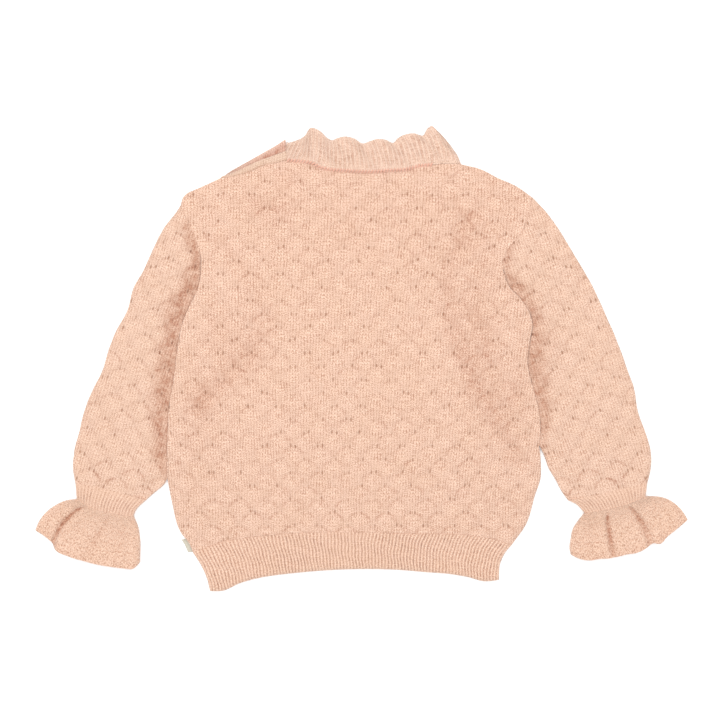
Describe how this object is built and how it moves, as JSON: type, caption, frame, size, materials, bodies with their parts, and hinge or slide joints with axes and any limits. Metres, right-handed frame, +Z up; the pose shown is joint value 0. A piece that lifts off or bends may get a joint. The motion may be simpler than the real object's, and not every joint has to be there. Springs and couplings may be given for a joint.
{
  "type": "knitted openwork baby pullover laid flat",
  "caption": "Fine openwork knitted baby pullover laid flat, back up, with a ribbed stand collar, a shoulder opening, a ribbed hem and flared ruffle cuffs.",
  "frame": {"origin": "on the surface that the pullover lies on, under the middle of its outline", "axes": "+Z up from the surface, +Y from hem to collar, +X towards the wearer's right sleeve as it is seen back up"},
  "size_m": [0.4754, 0.3392, 0.0071],
  "materials": {
    "body_knit": "soft brushed yarn",
    "sleeve_knit": "soft brushed yarn",
    "collar_rib": "soft brushed yarn",
    "rib": "soft brushed yarn",
    "ruffle_knit": "soft brushed yarn",
    "placket": "soft brushed yarn",
    "label": "soft brushed yarn"
  },
  "bodies": {
    "root": {"back": "body_knit", "front": "body_knit", "hem_band_back": "rib", "hem_band_front": "rib", "sleeve_left": "sleeve_knit", "sleeve_right": "sleeve_knit", "cuff_left": "rib", "cuff_right": "rib", "ruffle_left": "ruffle_knit", "ruffle_right": "ruffle_knit", "collar_back": "collar_rib", "collar_front": "collar_rib", "placket_back": "placket", "placket_front": "placket", "side_label": "label"}
  },
  "joints": []
}
